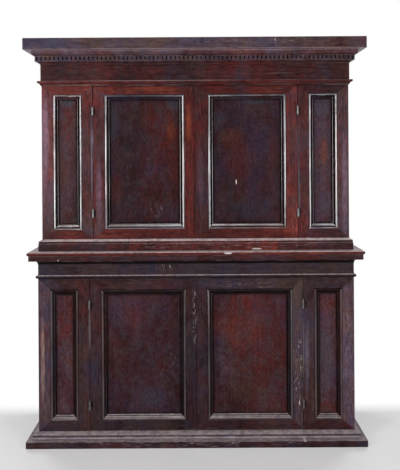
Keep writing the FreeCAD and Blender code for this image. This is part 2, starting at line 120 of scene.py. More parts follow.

# Courses: how light each is at a height above its foot, as painted shade under ledges and painted light on
# the crown's top. The mesh is cut at the third and fourth height.
COURSE_SHADING = {
    "lower_frieze_board": [(0.0, 0.2), (0.022, 0.5), (0.028, 1.0), (0.066, 1.0), (0.078, 0.35)],
    "upper_frieze_boards": [(0.0, 0.6), (0.026, 0.6), (0.040, 1.0), (0.098, 1.0), (0.114, 0.8)],
    "crown_moulding": [(0.0, 0.55), (0.010, 0.70), (0.020, 0.95), (0.029, 1.5)],
    "waist_fascia": [(0.0, 0.5), (0.007, 1.0), (0.021, 1.0), (0.028, 0.3)],
}

# Slots between the dentils: half height, the strip's skin round them, the rim left out at their ends, how
# far along the front they reach, and how light they are, as painted shade in the slots
SLOT_HALF_HEIGHT = 0.0095
SLOT_SKIN = 0.002
SLOT_RIM = 0.0001
SLOT_REACH = 0.84
SLOT_SHADE = 0.10

# Panel mouldings: the bead and lip as (distance inwards, height above the panel, half width, rise), and the
# rows before, between and after them as (distance inwards, height)
BEAD = (0.00725, 0.0126, 0.0064, 0.0056)
BEAD_STEPS = 16
LIP = (0.0241, 0.0050, 0.0023, 0.0022)
LIP_STEPS = 6
QUIRK_ROWS = [(0.0, 0.0126), (0.0008, 0.0125)]
HOLLOW_ROWS = [(0.0137, 0.0109), (0.0152, 0.0104), (0.0172, 0.0086), (0.0189, 0.0066), (0.0203, 0.0051),
               (0.0217, 0.0050)]
FALL_ROWS = [(0.0276, 0.0017), (0.0290, 0.0002)]
LEAST_INSET = 0.00002

# How light a panel moulding is at a distance inwards, as painted shade in its hollows and by the panel and
# full light on the rounds where the polish lies, the share of that on its left, right, bottom and top side as
# painted shade and light by how each side faces, and the least lightness on each of these sides
MOULDING_SHADE_AND_POLISH = {
    "upper": [(0.0, 0.3), (0.0030, 0.5), (0.0040, 1.0), (0.0108, 1.0), (0.0118, 0.4), (0.0137, 0.12),
              (0.0170, 0.20), (0.0215, 0.15), (0.0232, 0.74), (0.0250, 0.74), (0.0262, 0.05), (0.0290, 0.02)],
    "upper_foot": [(0.0, 0.9), (0.0050, 1.0), (0.0062, 0.55), (0.0108, 0.50), (0.0137, 0.55),
                   (0.0165, 0.85), (0.0190, 0.95), (0.0215, 0.80), (0.0232, 0.66), (0.0250, 0.66),
                   (0.0262, 0.5), (0.0290, 0.3)],
    "lower": [(0.0, 0.3), (0.0030, 0.5), (0.0040, 1.0), (0.0108, 1.0), (0.0118, 0.75), (0.0137, 0.62),
              (0.0170, 0.55), (0.0215, 0.40), (0.0232, 0.74), (0.0250, 0.74), (0.0262, 0.10), (0.0290, 0.05)],
}
MOULDING_SIDE_SHADE = {"upper": (1.0, 1.0, 1.05, 0.68), "lower": (0.90, 0.85, 1.45, 0.45)}
MOULDING_LEAST_LIGHT = {"upper": (0.0, 0.0, 0.55, 0.58), "lower": (0.0, 0.0, 0.70, 0.20)}
BOTTOM_SIDE = 2


def everything_off():
    """Nothing is selected before an operator runs."""
    bpy.ops.object.select_all(action="DESELECT")


def work_on(piece):
    """Make one piece the only selected and active one."""
    everything_off()
    piece.select_set(True)
    bpy.context.view_layer.objects.active = piece


def edit(piece):
    """Open one piece in edit mode."""
    work_on(piece)
    bpy.ops.object.mode_set(mode="EDIT")
    bpy.ops.mesh.select_mode(type="FACE")


def leave():
    """Back to object mode."""
    bpy.ops.object.mode_set(mode="OBJECT")


def pick(piece, kind, wanted):
    """In edit mode, select the faces or edges for which wanted(element, board layer) is true."""
    bpy.ops.mesh.select_mode(type=kind)
    bpy.ops.mesh.select_all(action="DESELECT")
    mesh = bmesh.from_edit_mesh(piece.data)
    layer = mesh.faces.layers.int.get("board")
    for element in (mesh.faces if kind == "FACE" else mesh.edges):
        if wanted(element, layer):
            element.select_set(True)
    mesh.select_flush_mode()
    bmesh.update_edit_mesh(piece.data)


def cut_through(place, across):
    """In edit mode, cut the whole piece by a plane through a place, square to a direction."""
    bpy.ops.mesh.select_all(action="SELECT")
    bpy.ops.mesh.bisect(plane_co=place, plane_no=across)


def set_place(piece):
    """Put the piece's place, turn and scale into its mesh."""
    work_on(piece)
    bpy.ops.object.transform_apply(location=True, rotation=True, scale=True)


def bevelled(piece, width):
    """Round the sharp edges with a bevel, and mark the new faces as worn by material index 1."""
    work_on(piece)
    piece.data.materials.clear()
    bevel = piece.modifiers.new("worn edges", "BEVEL")
    bevel.width = width
    bevel.segments = BEVEL_STEPS
    bevel.limit_method = "ANGLE"
    bevel.angle_limit = SHARP_ANGLE
    bevel.material = 1
    bevel.use_clamp_overlap = True
    while len(piece.data.materials) < 2:
        piece.data.materials.append(None)
    bpy.ops.object.modifier_apply(modifier=bevel.name)


def smooth(piece, angle):
    """Smooth shading that leaves the broad faces flat."""
    work_on(piece)
    bpy.ops.object.shade_smooth_by_angle(angle=angle, keep_sharp_edges=False)
    weighted = piece.modifiers.new("flat faces", "WEIGHTED_NORMAL")
    weighted.keep_sharp = True
    bpy.ops.object.modifier_apply(modifier=weighted.name)


def joined(pieces):
    """All the pieces as one."""
    everything_off()
    for piece in pieces:
        piece.select_set(True)
    bpy.context.view_layer.objects.active = pieces[0]
    if len(pieces) > 1:
        bpy.ops.object.join()
    return pieces[0]


def corners_of(spots):
    """Lowest and highest corner of the box round some places."""
    low = Vector(min(spot[axis] for spot in spots) for axis in range(3))
    high = Vector(max(spot[axis] for spot in spots) for axis in range(3))
    return low, high


def straight_between(value, points):
    """Value on the broken line through (place, value) points."""
    for (a, low), (b, high) in zip(points[:-1], points[1:]):
        if value < b:
            return low + (high - low) * max(0.0, (value - a) / (b - a))
    return points[-1][1]


# Boards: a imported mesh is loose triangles, listed one closed board after another


def board_numbers(mesh):
    """Number of the board that each face belongs to. A board ends where its surface has closed."""
    open_edges = {}
    numbers = []
    number = 0
    spots = [tuple(round(c, PLACE_DIGITS) for c in vertex.co) for vertex in mesh.vertices]
    for polygon in mesh.polygons:
        numbers.append(number)
        corners = [spots[v] for v in polygon.vertices]
        for here, there in zip(corners, corners[1:] + corners[:1]):
            if open_edges.get((there, here), 0) > 1:
                open_edges[there, here] -= 1
            elif (there, here) in open_edges:
                del open_edges[there, here]
            elif here != there:
                open_edges[here, there] = open_edges.get((here, there), 0) + 1
        if not open_edges:
            number += 1
    return numbers


def number_boards(mesh, number_of):
    """Store on every face the number of its board, as number_of(face) gives it."""
    board = mesh.attributes.new("board", "INT", "FACE")
    board.data.foreach_set("value", [number_of(polygon) for polygon in mesh.polygons])


def copied(name):
    """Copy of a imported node, merged board by board, so that boards which touch stay apart."""
    mesh = frame["nodes"][name].data.copy()
    piece = bpy.data.objects.new(name + "_dressed", mesh)
    bpy.context.scene.collection.objects.link(piece)
    numbers = board_numbers(mesh)
    number_boards(mesh, lambda polygon: numbers[polygon.index])
    edit(piece)
    bpy.ops.mesh.customdata_custom_splitnormals_clear()
    for number in range(max(numbers) + 1):
        pick(piece, "FACE", lambda face, layer: face[layer] == number)
        bpy.ops.mesh.remove_doubles(threshold=MERGE_DISTANCE)
    bpy.ops.mesh.select_all(action="SELECT")
    bpy.ops.mesh.dissolve_limited(angle_limit=FLAT_ANGLE)
    leave()
    return piece


def boards_of(mesh):
    """Lists of the faces of each board, in board order."""
    board = mesh.attributes["board"]
    groups = {}
    for polygon in mesh.polygons:
        groups.setdefault(board.data[polygon.index].value, []).append(polygon.index)
    return [groups[number] for number in sorted(groups)]


def board_box(mesh, group):
    """Lowest and highest corner of a group of faces."""
    return corners_of([mesh.vertices[v].co for f in group for v in mesh.polygons[f].vertices])


def long_axis(mesh, group):
    """Index of the axis along which a group of faces is longest."""
    low, high = board_box(mesh, group)
    spans = [high[axis] - low[axis] for axis in range(3)]
    return spans.index(max(spans))


def lay_grain(piece, seed, tones=(PLAIN_TONE,), raw=None, grain_axis=None, shade=None):
    """Store grain (along, across, deep), tone, lightness with painted shade and wear, and rawness at face
    corners.
    """
    mesh = piece.data
    draw = random.Random(seed)
    for name, kind in (("grain", "FLOAT_VECTOR"), ("tone_wear_shade", "FLOAT_VECTOR"), ("raw", "FLOAT")):
        mesh.attributes.new(name, kind, "CORNER")
    grain = mesh.attributes["grain"]
    tone_wear_shade = mesh.attributes["tone_wear_shade"]
    rawness = mesh.attributes["raw"]
    for number, group in enumerate(boards_of(mesh)):
        axis = long_axis(mesh, group) if grain_axis is None else grain_axis
        shift = Vector([draw.uniform(0, GRAIN_SHIFT) for direction in range(3)])
        warm, light = tones[number % len(tones)]
        warm += draw.uniform(-WARMTH_STRAY, WARMTH_STRAY)
        light *= 1 + draw.uniform(-LIGHTNESS_STRAY, LIGHTNESS_STRAY)
        across = (axis + 1) % 3
        deep = (axis + 2) % 3
        for f in group:
            polygon = mesh.polygons[f]
            wear = 1.0 if polygon.material_index == 1 else 0.0
            unpolished = 1.0 if raw and raw(polygon) else 0.0
            for loop in polygon.loop_indices:
                spot = mesh.vertices[mesh.loops[loop].vertex_index].co
                grain.data[loop].vector = Vector((spot[axis], spot[across], spot[deep])) + shift
                shaded = light * shade(spot, polygon.center) if shade else light
                tone_wear_shade.data[loop].vector = (warm, shaded, wear)
                rawness.data[loop].value = unpolished
    for polygon in mesh.polygons:
        polygon.material_index = 0


slot_of = {row["node"]: row["material_slot"] for row in frame["record"]["subparts"]}


def finished(piece, node, material):
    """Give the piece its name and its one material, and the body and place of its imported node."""
    piece.name = node + "_dressed"
    piece.data.name = node + "_dressed"
    piece.data.materials.clear()
    piece.data.materials.append(material)
    body = frame["nodes"][node]["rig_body"]
    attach(piece, body)
    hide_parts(node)
    return piece


# Materials

# Numbers of a colour Mix node's sockets
MIX_FIRST = 6
MIX_SECOND = 7
MIX_RESULT = 2


def opaque(colour):
    """A colour with full cover. An output of a node stays as it is."""
    return colour if hasattr(colour, "is_output") else (*colour, 1.0)


def tinted(colour, shares):
    """A colour with its red, green and blue each changed by a share."""
    return [light * share for light, share in zip(colour, shares)]


class Nodes:
    """A material's node tree, with short calls for the nodes that the finishes share."""

    def __init__(self, name):
        self.material = bpy.data.materials.new(name)
        self.material.use_nodes = True
        self.tree = self.material.node_tree
        self.tree.nodes.clear()
        self.out = self.new("OutputMaterial")
        self.shader = self.new("BsdfPrincipled")
        self.join(self.shader.outputs["BSDF"], self.out.inputs["Surface"])

    def new(self, kind):
        return self.tree.nodes.new("ShaderNode" + kind)

    def join(self, source, target):
        self.tree.links.new(source, target)

    def feed(self, value, target):
        """Give a socket a node's output or a constant."""
        if hasattr(value, "is_output"):
            self.join(value, target)
        else:
            target.default_value = value

    def attribute(self, name, output="Vector"):
        node = self.new("Attribute")
        node.attribute_name = name
        return node.outputs[output]

    def split(self, vector):
        node = self.new("SeparateXYZ")
        self.join(vector, node.inputs[0])
        return node.outputs

    def object_place(self):
        return self.new("TexCoord").outputs["Object"]

    def facing(self):
        return self.new("NewGeometry").outputs["Normal"]

    def scaled(self, vector, scale, move=(0, 0, 0), turn=(0, 0, 0)):
        node = self.new("Mapping")
        self.join(vector, node.inputs["Vector"])
        node.inputs["Scale"].default_value = scale
        node.inputs["Location"].default_value = move
        node.inputs["Rotation"].default_value = turn
        return node.outputs["Vector"]

    def length(self, vector):
        node = self.new("VectorMath")
        node.operation = "LENGTH"
        self.join(vector, node.inputs[0])
        return node.outputs["Value"]

    def pattern(self, vector, scale, move=(0, 0, 0), turn=(0, 0, 0), detail=4.0, roughness=0.55, warp=0.0):
        """Noise with a scale of its own along each axis."""
        node = self.new("TexNoise")
        self.join(self.scaled(vector, scale, move, turn), node.inputs["Vector"])
        node.inputs["Scale"].default_value = 1.0
        node.inputs["Detail"].default_value = detail
        node.inputs["Roughness"].default_value = roughness
        node.inputs["Distortion"].default_value = warp
        return node.outputs["Fac"]

    def maths(self, operation, a, b=0.0, clamp=False):
        node = self.new("Math")
        node.operation = operation
        node.use_clamp = clamp
        self.feed(a, node.inputs[0])
        self.feed(b, node.inputs[1])
        return node.outputs[0]

    def product(self, value, *factors):
        for factor in factors:
            value = self.maths("MULTIPLY", value, factor)
        return value

    def total(self, value, *terms):
        for term in terms:
            value = self.maths("ADD", value, term)
        return value

    def swing(self, value, weight, middle=0.5):
        """How far a value lies from its middle, times a weight."""
        return self.product(self.maths("SUBTRACT", value, middle), weight)

    def steps(self, value, low, high, start=0.0, end=1.0):
        """A smooth climb from start to end, while the value goes from low to high."""
        node = self.new("MapRange")
        node.interpolation_type = "SMOOTHSTEP"
        self.feed(value, node.inputs["Value"])
        node.inputs["From Min"].default_value = low
        node.inputs["From Max"].default_value = high
        node.inputs["To Min"].default_value = start
        node.inputs["To Max"].default_value = end
        return node.outputs["Result"]

    def mixed(self, amount, first, second, blend="MIX"):
        node = self.new("Mix")
        node.data_type = "RGBA"
        node.blend_type = blend
        self.feed(amount, node.inputs["Factor"])
        self.feed(opaque(first), node.inputs[MIX_FIRST])
        self.feed(opaque(second), node.inputs[MIX_SECOND])
        return node.outputs[MIX_RESULT]

    def grey(self, value):
        """A value as a colour."""
        node = self.new("CombineColor")
        for socket in node.inputs:
            self.feed(value, socket)
        return node.outputs[0]

    def ramp(self, value, stops):
        node = self.new("ValToRGB")
        ramp = node.color_ramp
        while len(ramp.elements) < len(stops):
            ramp.elements.new(1.0)
        for element, (place, colour) in zip(ramp.elements, stops):
            element.position = place
            element.color = opaque(colour)
        self.feed(value, node.inputs["Fac"])
        return node.outputs["Color"]

    def bump(self, height, strength, distance, after=None):
        node = self.new("Bump")
        node.inputs["Strength"].default_value = strength
        node.inputs["Distance"].default_value = distance
        self.join(height, node.inputs["Height"])
        if after is not None:
            self.join(after, node.inputs["Normal"])
        return node.outputs["Normal"]


# Colours of the walnut: its stain from the darkest streaks to the lightest, the bloom and how its hue strays,
# wood that was never stained, and what lies on it
STAIN = [(0.34, (0.012, 0.005, 0.006)), (0.46, (0.034, 0.0090, 0.0085)), (0.58, (0.082, 0.014, 0.011)),
         (0.70, (0.165, 0.034, 0.022))]
BLOOM = (0.042, 0.028, 0.038)
BEAD_BLOOM = (0.036, 0.032, 0.060)
PANEL_BLOOM = (0.050, 0.023, 0.038)
BLUER = (0.72, 0.95, 1.25)
BROWNER = (1.20, 1.05, 0.62)
BARE = [(0.35, (0.085, 0.045, 0.028)), (0.70, (0.21, 0.125, 0.078))]
VEIL = (0.044, 0.041, 0.045)
PORE = (0.006, 0.004, 0.004)
GRIT = (0.12, 0.108, 0.12)
RUBBED = (0.20, 0.14, 0.135)
SCRATCHED = (0.24, 0.19, 0.19)
KNOCKED = (0.46, 0.39, 0.39)
CHIPPED = (0.55, 0.49, 0.46)
HINGE_SHADOW_BLACK = (0.004, 0.003, 0.004)
DUST = (0.46, 0.38, 0.375)
LEDGE_DUST = (0.66, 0.53, 0.51)
# Half length of a mark that runs all along the front and the sides
ALL_ALONG = 4.0
# A mark this many times as wide as it is high is made of level cuts
LEVEL_FROM = 3


class Walnut(Nodes):
    """Old waxed walnut, laid on in coats: stain, bloom, pores, painted shade, wear, marks, painted hinge
    shadows and dust.
    """

    def __init__(self, name, ripple):
        super().__init__(name)
        self.grain = self.attribute("grain")
        self.warmth, self.lightness, self.wear = self.split(self.attribute("tone_wear_shade"))
        self.raw = self.attribute("raw", "Fac")
        self.place = self.object_place()
        self.cloud = self.pattern(self.place, (8, 8, 4.2), detail=9, roughness=0.68, warp=0.3)
        self.figure = self.pattern(self.grain, (1.6, 20, 20), detail=8, roughness=0.68, warp=0.5)
        self.streaks = self.maths("SUBTRACT", self.pattern(self.grain, (3.2, 85, 85), roughness=0.7), 0.5)
        self.lines = self.pattern(self.grain, (5, 190, 190), detail=5, roughness=0.7)
        self.mottle = self.pattern(self.grain, (ripple, 90, 90), roughness=0.65)
        self.pores = self.steps(self.pattern(self.grain, (26, 950, 950), detail=2), 0.60, 0.72)

    def within(self, x, z, half_x, half_z, rim=0.45):
        """1 inside an ellipse on the front, falling to 0 at its rim."""
        inside = self.scaled(self.place, (1 / half_x, 0, 1 / half_z), move=(-x / half_x, 0, -z / half_z))
        return self.steps(self.length(inside), rim, 1.0, 1.0, 0.0)

    def lay(self, amount, colour, blend="MIX"):
        """Lay a colour over what is there."""
        self.colour = self.mixed(amount, self.colour, colour, blend)

    def stain(self, streaked, figured):
        """Stain that is lighter and darker with the grain, in clouds, and from board to board."""
        patch = self.pattern(self.place, (2.6, 2.6, 1.8), move=(7.3, 0, 2.1), detail=3, warp=0.3)
        body = self.total(self.product(self.streaks, streaked), 0.5)
        for pattern, weight in ((self.figure, 0.34 * figured), (self.lines, 0.16 * figured),
                                (self.cloud, 0.22 + 0.16 * figured), (patch, 0.34),
                                (self.mottle, 0.06 + 0.18 * figured), (self.warmth, 0.60)):
            body = self.total(body, self.swing(pattern, weight))
        self.colour = self.ramp(body, STAIN)

    def bloom(self, haze, haze_share, streaked, veiled):
        """Bluish bloom in clouds, thinner on warm boards, and a grey veil in patches."""
        cover = self.pattern(self.place, (5.5, 5.5, 3.2), move=(3.1, 0, 9.2), detail=9, roughness=0.72)
        cover = self.total(cover, self.swing(self.warmth, -0.75, 0.45))
        cover = self.total(cover, self.product(self.streaks, 1.3 * streaked))
        hue = self.pattern(self.place, (9, 9, 7), move=(0, 4.4, 1.7), detail=6, roughness=0.65)
        clouded = self.ramp(hue, [(0.36, tinted(haze, BLUER)), (0.48, haze), (0.62, tinted(haze, BROWNER))])
        self.lay(self.product(self.steps(cover, 0.40, 0.66), haze_share), clouded)
        veil = self.pattern(self.place, (24, 24, 17), move=(4, 1, 6), detail=5)
        self.lay(self.product(self.steps(veil, 0.46, 0.62, 0.0, veiled), haze_share), VEIL)

    def turn(self, patches):
        """Places where the polish has turned."""
        for x, z, half_x, half_z, amount, colour in patches:
            here = self.product(self.within(x, z, half_x, half_z, 0.1), self.cloud)
            self.lay(self.steps(here, 0.05, 0.55, 0.0, amount), colour)

    def open_pores(self):
        """Dark pores, fine grit, and the lightness of the board with its painted shade, livelier along its
        grain.
        """
        self.lay(self.product(self.pores, 0.35), PORE)
        grit = self.pattern(self.place, (230, 230, 170), move=(0, 2.2, 0), detail=2, roughness=0.6)
        self.lay(self.steps(grit, 0.46, 0.70, 0.0, 0.10), GRIT)
        spread = self.total(self.product(self.mottle, 0.6), self.product(self.lines, 0.4))
        spread = self.steps(spread, 0.34, 0.66, 0.72, 1.46)
        self.lay(1.0, self.grey(self.product(self.lightness, spread)), "MULTIPLY")

    def rub(self, share, scuffs, specks):
        """Rubbed edges, and long scratches and flecks that lie thick in a few places."""
        edges = self.steps(self.pattern(self.place, (11, 11, 11), detail=6), 0.40, 0.64)
        self.lay(self.product(self.wear, edges, share), RUBBED)
        thick = self.steps(self.pattern(self.place, (3.6, 3.6, 3.6), move=(1, 5, 2), detail=3), 0.50, 0.66)
        scratch = self.pattern(self.grain, (6, 210, 210), turn=(0, 0, 0.02), detail=3)
        scratched = self.product(self.steps(scratch, 0.66, 0.74), self.product(thick, scuffs))
        fleck = self.pattern(self.place, (120, 120, 70), roughness=0.7)
        flecked = self.product(self.steps(fleck, 0.66, 0.76), self.product(thick, specks))
        self.lay(self.maths("MAXIMUM", scratched, flecked), SCRATCHED)

    def knock(self, knocks):
        """Groups of short cuts: level ones in long flat groups, slanted and upright ones in the rest."""
        slanted = self.pattern(self.place, (190, 190, 42), turn=(0, 0.45, 0), detail=3, roughness=0.7)
        upright = self.pattern(self.place, (260, 260, 34), move=(3, 1, 4), detail=3, roughness=0.7)
        level = self.pattern(self.place, (22, 170, 240), move=(1, 6, 2), detail=3, roughness=0.7)
        cuts = self.maths("MAXIMUM", self.steps(slanted, 0.60, 0.68), self.steps(upright, 0.62, 0.70))
        level_cuts = self.steps(level, 0.56, 0.70)
        for x, z, half_x, half_z, amount in knocks:
            here = self.product(self.within(x, z, half_x, half_z), amount)
            self.lay(self.product(here, level_cuts if half_x > LEVEL_FROM * half_z else cuts), KNOCKED)

    def chip(self, chips):
        """Chips with torn edges."""
        torn = self.maths("SUBTRACT", self.pattern(self.place, (220, 220, 220), detail=2), 0.5)
        for x, z, half_x, half_z in chips:
            here = self.total(self.within(x, z, half_x, half_z, 0.2), torn)
            self.lay(self.steps(here, 0.45, 0.60), CHIPPED)

    def shadow_hinges(self, hinge_shadows):
        """Painted black shadow beside the hinges."""
        for x, z, half_x, half_z in hinge_shadows:
            self.lay(self.product(self.within(x, z, half_x, half_z), 0.85), HINGE_SHADOW_BLACK)

    def strip(self):
        """Backs and insides that were never stained."""
        pattern = self.total(self.product(self.figure, 0.6), self.product(self.lines, 0.4))
        self.lay(self.raw, self.ramp(pattern, BARE))

    def settle(self, dust, polish, ledges):
        """Dust on what faces up, less of it high up and where shade is painted on mouldings, and more on some
        ledges.
        """
        up = self.steps(self.split(self.facing())[2], 0.50, 0.80)
        settling = self.steps(self.split(self.place)[2], 1.2, 2.0, 1.0, 0.45)
        settled = self.pattern(self.place, (38, 38, 38), detail=7, roughness=0.7)
        settled = self.steps(settled, 0.32, 0.66, 0.35, 1.05)
        self.dusty = self.product(up, self.product(settled, settling), dust)
        if polish:
            self.dusty = self.product(self.dusty, self.steps(self.lightness, 0.50, 0.72))
        self.lay(self.dusty, DUST)
        for z, half_z, amount in ledges:
            here = self.product(self.within(0.0, z, ALL_ALONG, half_z), self.product(up, settled))
            self.lay(self.product(here, amount), LEDGE_DUST)

    def shine(self, rough, polish):
        """A dull shine, duller under dust, on bare wood and in pores, and a polished coat on mouldings."""
        gloss = self.total(self.product(self.cloud, 0.24), rough - 0.12)
        gloss = self.total(gloss, self.product(self.dusty, 0.35), self.product(self.raw, 0.35))
        gloss = self.maths("ADD", gloss, self.product(self.pores, 0.12), clamp=True)
        self.join(self.colour, self.shader.inputs["Base Color"])
        self.join(gloss, self.shader.inputs["Roughness"])
        self.shader.inputs["IOR"].default_value = 1.5
        self.shader.inputs["Specular IOR Level"].default_value = 0.04
        if polish:
            self.shader.inputs["Coat IOR"].default_value = 2.6
            self.shader.inputs["Coat Roughness"].default_value = 0.28
            rubbed = self.pattern(self.place, (9, 9, 4.5), move=(2, 7, 5))
            rubbed = self.steps(rubbed, 0.38, 0.56, 0.5, 1.0)
            coat = self.product(self.steps(self.lightness, 0.55, 0.80, 0.0, polish), rubbed)
            self.join(coat, self.shader.inputs["Coat Weight"])

    def roughen(self, polish):
        """Raised grain, and on unpolished boards the waves that a plane leaves."""
        fine = self.maths("SUBTRACT", self.lines, self.product(self.pores, 0.6))
        relief = self.bump(fine, 0.04 if polish else 0.30, 0.0003)
        if not polish:
            waves = self.pattern(self.grain, (3, 13, 13), detail=2)
            relief = self.bump(waves, 0.25, 0.0020, relief)
        self.join(relief, self.shader.inputs["Normal"])


def walnut(name, haze, haze_share, rough=0.30, streaked=0.12, figured=0.6, ripple=26.0, veiled=0.2,
           scuffs=0.5, specks=0.4, dust=0.7, polish=0.0, patches=(), knocks=(), chips=(), hinge_shadows=(),
           ledges=()):
    """Walnut with all its coats, the first at the bottom."""
    wood = Walnut(name, ripple)
    wood.stain(streaked, figured)
    wood.bloom(haze, haze_share, streaked, veiled)
    wood.turn(patches)
    wood.open_pores()
    wood.rub(0.15 if polish else 0.85, scuffs, specks)
    if knocks:
        wood.knock(knocks)
    wood.chip(chips)
    wood.shadow_hinges(hinge_shadows)
    wood.strip()
    wood.settle(dust, polish, ledges)
    wood.shine(rough, polish)
    wood.roughen(polish)
    return wood.material


def plain_wood(name, dark, bright):
    """Unpolished inner boards, with open grain and stains."""
    n = Nodes(name)
    grain = n.attribute("grain")
    tone_wear_shade = n.split(n.attribute("tone_wear_shade"))
    warmth = tone_wear_shade[0]
    wear = tone_wear_shade[2]
    bands = n.pattern(grain, (0.8, 20, 20), detail=6, roughness=0.6, warp=0.5)
    lines = n.pattern(grain, (3, 210, 210), detail=3)
    cloud = n.pattern(n.object_place(), (2.4, 2.4, 2.4))
    value = n.total(n.product(bands, 0.55), n.product(lines, 0.25), n.product(cloud, 0.25))
    value = n.total(value, n.swing(warmth, 0.4))
    colour = n.ramp(value, [(0.34, dark), (0.72, bright)])
    colour = n.mixed(n.product(wear, 0.5), colour, tinted(dark, (0.35, 0.35, 0.35)))
    n.join(colour, n.shader.inputs["Base Color"])
    n.join(n.steps(lines, 0.2, 0.8, 0.62, 0.85), n.shader.inputs["Roughness"])
    n.join(n.bump(lines, 0.4, 0.0006), n.shader.inputs["Normal"])
    return n.material


# Colours of the iron: its skin, rust and rubbed edges
SKIN = [(0.3, (0.040, 0.037, 0.039)), (0.7, (0.120, 0.114, 0.118))]
RUSTED = (0.06, 0.022, 0.012)
BRIGHTENED = (0.34, 0.32, 0.33)


def old_iron(name):
    """Dark forged iron, rubbed brighter on its edges and rusted in places."""
    n = Nodes(name)
    place = n.object_place()
    wear = n.split(n.attribute("tone_wear_shade"))[2]
    skin = n.pattern(place, (90, 90, 90), detail=6)
    rust = n.steps(n.pattern(place, (38, 38, 38), move=(2, 4, 1)), 0.50, 0.66)
    colour = n.mixed(n.product(rust, 0.6), n.ramp(skin, SKIN), RUSTED)
    colour = n.mixed(n.product(wear, 0.6), colour, BRIGHTENED)
    n.join(colour, n.shader.inputs["Base Color"])
    n.shader.inputs["Metallic"].default_value = 0.85
    n.shader.inputs["Coat Weight"].default_value = 0.8
    n.shader.inputs["Coat Roughness"].default_value = 0.2
    n.join(n.steps(skin, 0.2, 0.8, 0.26, 0.42), n.shader.inputs["Roughness"])
    n.join(n.bump(skin, 0.35, 0.0004), n.shader.inputs["Normal"])
    return n.material


# Cuts on the frames and courses, as (x, z, half width, half height, how plain)
FRAME_KNOCKS = [(0.539, 0.391, 0.034, 0.250, 1.0), (-0.010, 0.682, 0.020, 0.200, 0.7),
                (-0.163, 0.937, 0.061, 0.021, 0.9), (0.290, 0.838, 0.230, 0.022, 0.55),
                (0.150, 1.052, 0.700, 0.030, 0.5), (0.000, 0.040, 0.900, 0.045, 0.65),
                (0.052, 1.472, 0.014, 0.016, 0.8), (-0.370, 1.060, 0.030, 0.022, 0.5),
                (-0.440, 0.440, 0.060, 0.420, 0.25), (0.800, 0.470, 0.050, 0.420, 0.45),
                (0.300, 2.130, 0.550, 0.020, 0.4)]
# Chips, as (x, z, half width, half height)
FRAME_CHIPS = [(0.168, 1.016, 0.036, 0.008), (0.322, 1.032, 0.042, 0.006), (-0.722, 0.982, 0.005, 0.005),
               (0.565, 0.036, 0.010, 0.008), (0.419, 2.130, 0.003, 0.010), (0.545, 0.214, 0.004, 0.020)]
# Ledges with thick dust, as (z, half height, how thick)
DUSTY_LEDGES = [(0.897, 0.008, 0.60), (1.024, 0.012, 0.85), (1.080, 0.012, 0.75)]
# Where the frames' polish has turned, as (x, z, half width, half height, how much, colour). The pale patches
# on the stiles are turned polish and painted sheen
PALE_BLOOM_AND_SHEEN = (0.130, 0.082, 0.115)
GREY = (0.120, 0.105, 0.135)
FRAME_PATCHES = [
    (-0.800, 1.62, 0.035, 0.40, 0.60, PALE_BLOOM_AND_SHEEN), (-0.515, 1.30, 0.030, 0.36, 0.35, PALE_BLOOM_AND_SHEEN),
    (-0.552, 1.50, 0.008, 0.38, 0.55, GREY), (0.552, 1.36, 0.010, 0.26, 0.45, GREY),
    (0.795, 1.35, 0.030, 0.45, 0.45, PALE_BLOOM_AND_SHEEN), (0.025, 1.42, 0.030, 0.30, 0.25, PALE_BLOOM_AND_SHEEN),
    (-0.815, 0.45, 0.018, 0.36, 0.60, (0.17, 0.105, 0.085)), (0.585, 0.45, 0.020, 0.34, 0.40, GREY),
    (-0.035, 1.70, 0.022, 0.17, 0.60, (0.22, 0.05, 0.02)),
    (-0.200, 1.885, 0.26, 0.022, 0.45, (0.19, 0.045, 0.018)),
    # Painted highlights along the edges of the cornice slab and the necking, and the scuffed foot of the
    # plinth moulding
    (0.000, 2.086, ALL_ALONG, 0.005, 0.60, (0.15, 0.11, 0.12)),
    (-0.200, 1.928, 0.80, 0.005, 0.60, (0.40, 0.32, 0.32)),
    (-0.620, 1.905, 0.24, 0.005, 0.60, (0.40, 0.30, 0.27)),
    (0.000, 0.044, ALL_ALONG, 0.011, 0.95, (0.170, 0.148, 0.154)),
    # Light lines along the joints between the bays and the doors
    (-0.5655, 0.62, 0.006, 0.24, 0.90, (0.26, 0.23, 0.25)),
    (0.5670, 0.50, 0.005, 0.36, 0.70, (0.22, 0.20, 0.22)),
    (-0.5465, 1.62, 0.006, 0.12, 0.80, (0.20, 0.20, 0.26)),
    (0.5465, 1.55, 0.006, 0.30, 0.60, (0.16, 0.15, 0.21)),
]
# Painted black shadow beside each hinge, as chips are given
HINGE_PLACES = ((0.546, 1.222), (0.546, 1.765), (0.5655, 0.209), (0.5655, 0.739))
SHADOW_ASIDE = 0.0105
SHADOW_REACH = (0.0075, 0.030)
HINGE_SHADOWS = [(side * axis + SHADOW_ASIDE, z, *SHADOW_REACH)
                for axis, z in HINGE_PLACES for side in (-1, 1)]
PANEL_KNOCKS = [(-0.139, 0.391, 0.070, 0.200, 0.14), (-0.208, 1.234, 0.045, 0.045, 1.0),
                (0.150, 0.440, 0.060, 0.100, 0.22), (0.290, 1.530, 0.090, 0.080, 0.14)]
PANEL_CHIPS = [(0.218, 1.385, 0.0050, 0.022)]
